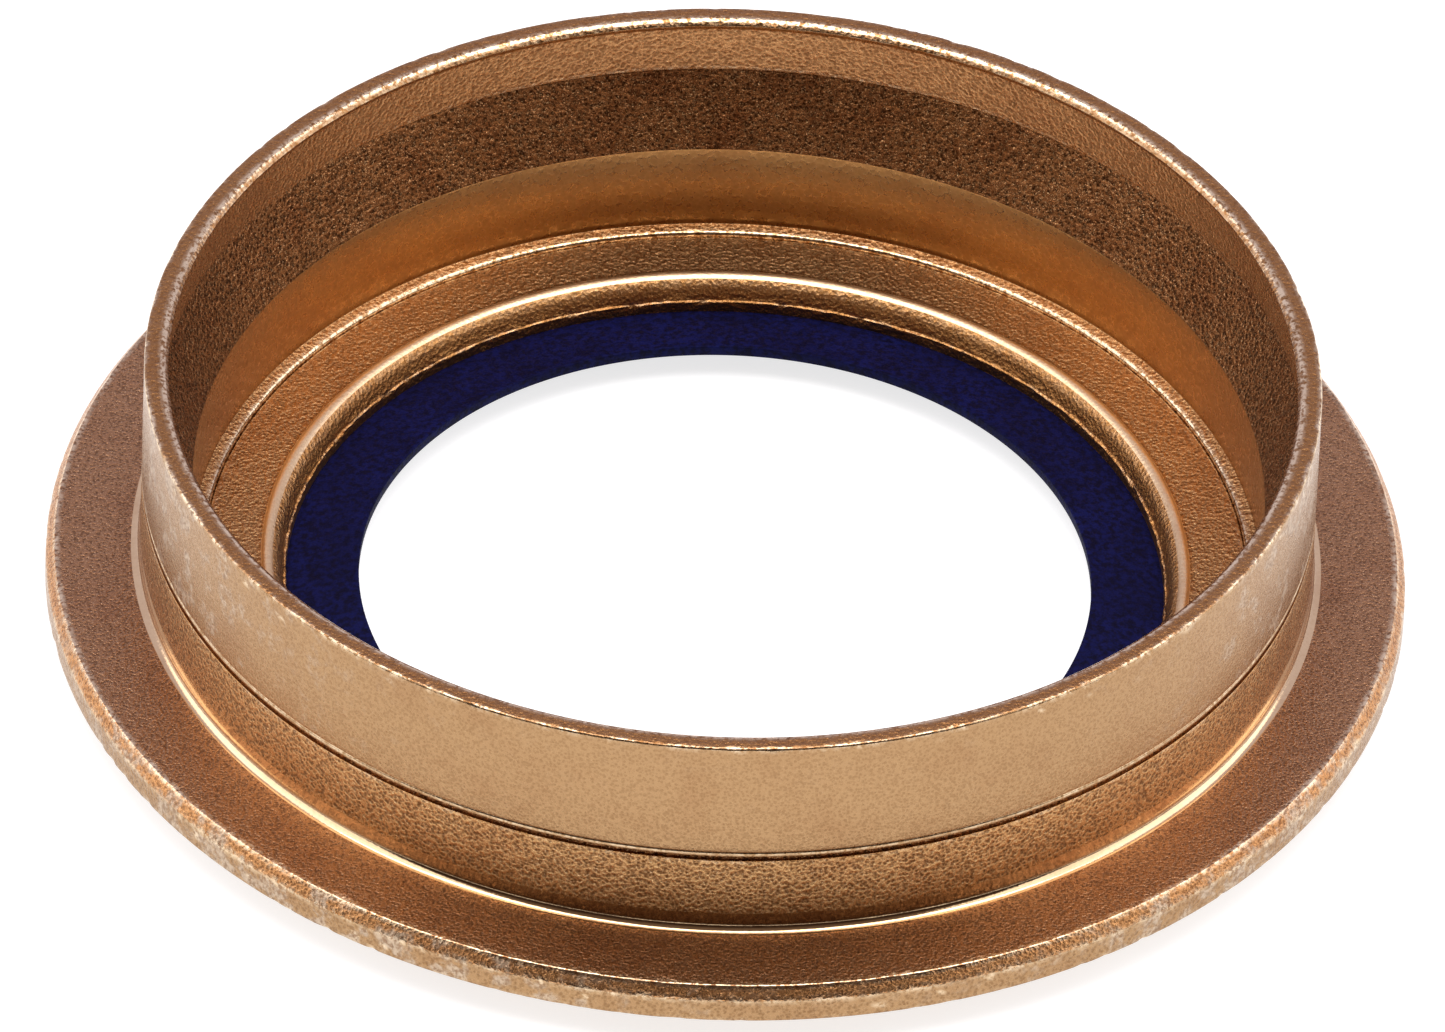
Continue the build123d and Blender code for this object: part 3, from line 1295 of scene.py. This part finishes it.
@dataclass
class Studio:
    """A pale floor under soft boxes, in a room that is dark towards the viewer.

    Attributes:
        floor_r: Radius of the floor, in metres.
        floor_drop: Hair's breadth between the floor and the pilot's bottom, in metres.
        top: Soft box overhead.
        side: Soft box on each side.
        side_rise: Height of the side boxes above the floor, in degrees.
        front: Colour of the room towards the viewer, low down.
        front_high: Colour of the room towards the viewer, higher up.
        back: Colour of the room behind the object.
        glow: Brightness of the floor's own light.
    """

    floor_r: float = 4.0
    floor_drop: float = 0.00003
    top: SoftBox = SoftBox(away=1.0, width=1.10, tall=0.66, bright=4.0)
    side: SoftBox = SoftBox(away=1.2, width=1.3, tall=1.10, bright=1.5)
    side_rise: float = 34.0
    front: Colour = (0.035, 0.019, 0.013)
    front_high: Colour = (0.17, 0.125, 0.105)
    back: Colour = (0.68, 0.64, 0.78)
    glow: float = 0.76

    def build(self) -> None:
        """Make the floor, the lights and the room."""
        self.floor()
        self.top.hang("top_softbox", Vector((0.0, 0.0, 1.0)))
        angle = math.radians(self.side_rise)
        for name, sign in (("left_softbox", -1.0), ("right_softbox", 1.0)):
            self.side.hang(name, Vector((sign * math.cos(angle), 0.0, math.sin(angle))))
        self.room()

    def floor(self) -> None:
        """Make the pale floor."""
        mesh = bmesh.new()
        drop = Matrix.Translation((0.0, 0.0, -self.floor_drop))
        bmesh.ops.create_circle(
            mesh, cap_ends=True, segments=96, radius=self.floor_r, matrix=drop
        )
        data = bpy.data.meshes.new("studio_floor")
        mesh.to_mesh(data)
        mesh.free()
        graph = MaterialGraph("pale_floor")
        cloud = graph.noise(40.0, detail=2.0)
        colour = graph.blend(cloud, (0.42, 0.42, 0.42), (0.45, 0.45, 0.45))
        graph.link(colour, graph.shader.inputs["Base Color"])
        graph.shader.inputs["Emission Color"].default_value = (1.0, 1.0, 1.0, 1.0)
        graph.shader.inputs["Emission Strength"].default_value = self.glow
        graph.shader.inputs["Roughness"].default_value = 0.8
        graph.shader.inputs["Specular IOR Level"].default_value = 0.0
        data.materials.append(graph.material)
        floor = bpy.data.objects.new("studio_floor", data)
        bpy.context.scene.collection.objects.link(floor)

    def room(self) -> None:
        """Shade the room from dark at the front to grey at the back."""
        world = bpy.data.worlds.new("studio_room")
        bpy.context.scene.world = world
        world.use_nodes = True
        graph = NodeGraph(world.node_tree)
        around = graph.tree.nodes.new("ShaderNodeTexCoord")
        split = graph.tree.nodes.new("ShaderNodeSeparateXYZ")
        graph.link(around.outputs["Generated"], split.inputs[0])
        upward = graph.band(split.outputs["Z"], 0.30, 0.85)
        backward = graph.band(split.outputs["Y"], -0.40, 0.40)
        ahead = graph.blend(upward, self.front, self.front_high)
        shade = graph.blend(backward, ahead, self.back)
        graph.link(shade, graph.tree.nodes["Background"].inputs["Color"])


@dataclass
class ViewCamera:
    """A long-lens camera that looks down on the bushing from the front.

    Attributes:
        elevation: Height of the view above the floor, in degrees.
        distance: Distance from the rim's centre, in metres.
        pan: Turn to the side, in degrees.
        tilt: Turn up or down, in degrees.
        roll: Turn about the line of sight, in degrees.
        lens: Focal length, in millimetres.
        sensor: Width of the sensor, in millimetres.
        reach: Greatest distance that is drawn, in metres.
    """

    elevation: float = 38.96
    distance: float = 1.996
    pan: float = 0.01
    tilt: float = 0.28
    roll: float = 2.35
    lens: float = 732.7
    sensor: float = 36.0
    reach: float = 20.0

    def build(self, target: Vector) -> bpy.types.Object:
        """Make the camera and give it to the scene.

        Args:
            target: Centre of the rim, in metres.

        Returns:
            The camera.
        """
        rise = math.radians(self.elevation)
        ahead = Vector((0.0, math.cos(rise), -math.sin(rise)))
        right = Vector((1.0, 0.0, 0.0))
        down = -right.cross(ahead)
        turn = (
            Matrix.Rotation(math.radians(self.roll), 3, "Z")
            @ Matrix.Rotation(math.radians(self.tilt), 3, "X")
            @ Matrix.Rotation(math.radians(self.pan), 3, "Y")
        )
        axes = turn @ Matrix((right, down, ahead))
        facing = Matrix((axes[0], -axes[1], -axes[2])).transposed().to_4x4()
        data = bpy.data.cameras.new("view_camera")
        data.sensor_fit = "HORIZONTAL"
        data.sensor_width = self.sensor
        data.lens = self.lens
        data.clip_end = self.reach
        camera = bpy.data.objects.new("view_camera", data)
        camera.matrix_world = Matrix.Translation(target - ahead * self.distance) @ facing
        bpy.context.scene.collection.objects.link(camera)
        bpy.context.scene.camera = camera
        return camera


@dataclass
class Bushing:
    """The whole bushing: its sizes from the frame, its rings and its finishes.

    Attributes:
        record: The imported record.
        rings: The four rings, once they are sized.
    """

    record: dict
    rings: list[TurnedRing] = field(default_factory=list)

    def mount_radius(self, name: str) -> float:
        """Return the radius of one of the record's mounts, in millimetres."""
        mounts = {mount["name"]: mount for mount in self.record["mounts"]}
        return mounts[name]["dims"]["r_mm"]

    def build(self) -> list[bpy.types.Object]:
        """Turn and dress the four rings.

        Returns:
            The visible pieces.
        """
        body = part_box("flanged_body")[1]
        body_top = body.z / MM
        low, high = (corner.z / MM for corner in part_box("collar_sleeve"))
        clamp_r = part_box("seal_clamp_ring")[1].x / MM
        collar_r = self.mount_radius("collar_outer")
        self.rings = [
            FlangedBody(
                flange_r=body.x / MM, collar_r=collar_r, bore_r=self.mount_radius("bearing_bore"),
                top_z=body_top, joint_z=low, clamp_r=clamp_r,
            ),
            CollarSleeve(collar_r=collar_r, rim_z=high, joint_z=low, spigot_top_z=body_top),
            SealClampRing(clamp_r=clamp_r),
            WiperSeal(lip_r=self.mount_radius("lip_bore"), clamp_r=clamp_r),
        ]
        finishes = FinishBook()
        return [ring.build(finishes) for ring in self.rings]


def main(record: dict) -> None:
    """Build the bushing, the studio and the camera.

    Args:
        record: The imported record.
    """
    logging.basicConfig(level=logging.INFO, format="%(name)s: %(message)s")
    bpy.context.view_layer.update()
    pieces = Bushing(record).build()
    Studio().build()
    rim_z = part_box("collar_sleeve")[1].z
    camera = ViewCamera().build(Vector((0.0, 0.0, rim_z)))
    bpy.context.scene.view_settings.view_transform = "Standard"
    LOG.info("%d pieces, seen by %s", len(pieces), camera.name)


if __name__ == "__main__":
    main(frame["record"])
